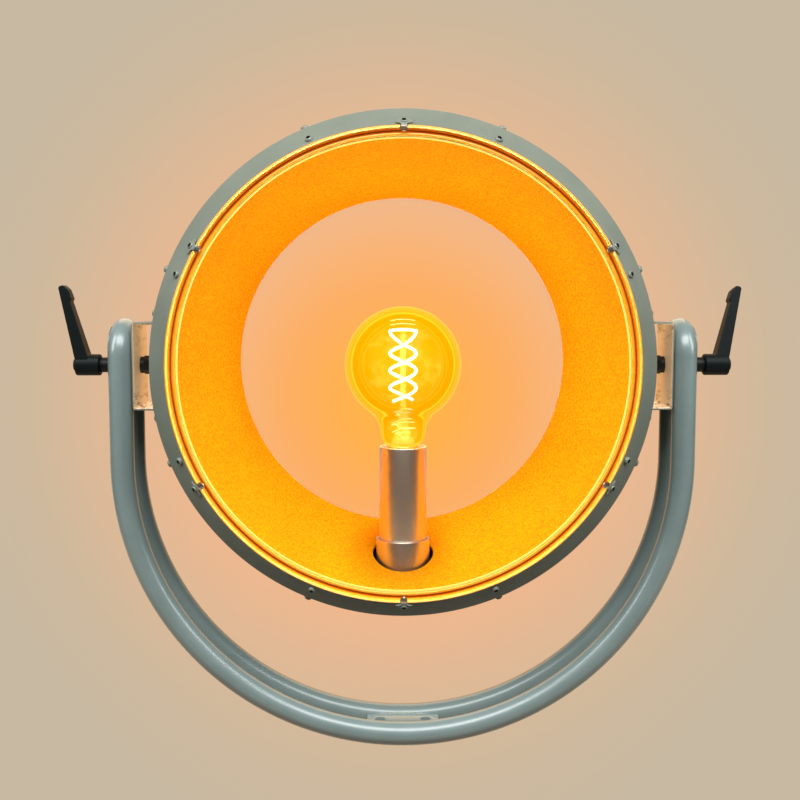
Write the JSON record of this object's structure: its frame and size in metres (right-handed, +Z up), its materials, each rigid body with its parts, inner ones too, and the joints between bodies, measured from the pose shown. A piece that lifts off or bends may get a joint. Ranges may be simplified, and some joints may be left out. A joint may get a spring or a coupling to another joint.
{
  "type": "ring lamp",
  "caption": "Open ring-shaped lamp head with an amber globe bulb on a tubular lampholder, tilting in a double-tube U-yoke with two clamping levers.",
  "frame": {"origin": "middle of the underside of the mounting plate across the bottom of the yoke", "axes": "+Z up, +X to the right seen from the front, the open front of the ring faces -Y"},
  "size_m": [0.5548, 0.1305, 0.5105],
  "materials": {
    "shell_enamel": "satin grey-green enamel",
    "yoke_enamel": "satin blue-grey-green enamel",
    "reflector_enamel": "fine sand-textured orange enamel",
    "rim_enamel": "satin yellow-orange enamel",
    "bracket_enamel": "satin grey-green enamel, bare warm metal inside",
    "screw_steel": "button-head steel, painted over",
    "clip_steel": "bright spring steel",
    "black_steel": "black oxide",
    "zinc_steel": "bright zinc plate",
    "lever_black": "fine-textured black powder coat",
    "holder_metal": "satin turned metal",
    "porcelain": "glazed",
    "brass": "satin",
    "amber_glass": "clear amber tint",
    "stem_glass": "clear",
    "filament": "glowing filament",
    "gland_plastic": "fine matt",
    "lead_rubber": "matt"
  },
  "bodies": {
    "yoke": {"yoke_tube": "yoke_enamel", "mount_plate": "yoke_enamel", "pivot_plate_left": "yoke_enamel", "pivot_plate_right": "yoke_enamel", "pivot_bush_left": "zinc_steel", "pivot_bush_right": "zinc_steel"},
    "head": {"outer_shell": "shell_enamel", "rear_ring": "shell_enamel", "front_rim": "rim_enamel", "filter_seat_ring": "rim_enamel", "reflector_cone": "reflector_enamel", "cable_gland": "gland_plastic", "lampholder_collar": "holder_metal", "lampholder_sleeve": "holder_metal", "lampholder_insert": "porcelain", "lampholder_nipple": "brass", "nipple_nut": "zinc_steel", "internal_lead": "lead_rubber", "shoulder_screw_1": "screw_steel", "band_screw_1": "screw_steel", "shoulder_screw_2": "screw_steel", "band_screw_2": "screw_steel", "shoulder_screw_3": "screw_steel", "band_screw_3": "screw_steel", "shoulder_screw_4": "screw_steel", "band_screw_4": "screw_steel", "shoulder_screw_5": "screw_steel", "band_screw_5": "screw_steel", "shoulder_screw_6": "screw_steel", "band_screw_6": "screw_steel", "shoulder_screw_7": "screw_steel", "band_screw_7": "screw_steel", "shoulder_screw_8": "screw_steel", "band_screw_8": "screw_steel", "filter_clip_1": "clip_steel", "filter_clip_2": "clip_steel", "filter_clip_3": "clip_steel", "filter_clip_4": "clip_steel", "filter_clip_5": "clip_steel", "filter_clip_6": "clip_steel", "side_bracket_left": "bracket_enamel", "bracket_screw_left_upper": "screw_steel", "bracket_screw_left_lower": "screw_steel", "pivot_bolt_left": "black_steel", "side_bracket_right": "bracket_enamel", "bracket_screw_right_upper": "screw_steel", "bracket_screw_right_lower": "screw_steel", "pivot_bolt_right": "black_steel"},
    "bulb": {"bulb_glass": "amber_glass", "bulb_cap": "brass", "bulb_stem": "stem_glass", "bulb_filament": "filament"},
    "left_lever_insert": {"lever_insert_left": "black_steel", "lever_screw_left": "black_steel", "lever_spring_left": "zinc_steel"},
    "left_lever_handle": {"lever_handle_left": "lever_black"},
    "right_lever_insert": {"lever_insert_right": "black_steel", "lever_screw_right": "black_steel", "lever_spring_right": "zinc_steel"},
    "right_lever_handle": {"lever_handle_right": "lever_black"}
  },
  "joints": [
    {"name": "head_tilt", "type": "hinge", "parent": "yoke", "child": "head", "pos_m": [0, 0, 0.3025], "axis": [1, 0, 0], "range_deg": [-180, 180]},
    {"name": "bulb_out", "type": "slide", "parent": "head", "child": "bulb", "axis": [0, 0, 1], "range_m": [0, 0.03]},
    {"name": "left_lever_turn", "type": "hinge", "parent": "yoke", "child": "left_lever_insert", "pos_m": [-0.25, 0, 0.3025], "axis": [-1, 0, 0], "range_deg": [0, 180]},
    {"name": "left_lever_lift", "type": "slide", "parent": "left_lever_insert", "child": "left_lever_handle", "axis": [-1, 0, 0], "range_m": [0, 0.0035], "stiffness_N_per_m": 600, "springref_m": -0.003, "deforming": ["lever_spring_left"]},
    {"name": "right_lever_turn", "type": "hinge", "parent": "yoke", "child": "right_lever_insert", "pos_m": [0.25, 0, 0.3025], "axis": [1, 0, 0], "range_deg": [0, 180]},
    {"name": "right_lever_lift", "type": "slide", "parent": "right_lever_insert", "child": "right_lever_handle", "axis": [1, 0, 0], "range_m": [0, 0.0035], "stiffness_N_per_m": 600, "springref_m": -0.003, "deforming": ["lever_spring_right"]}
  ]
}
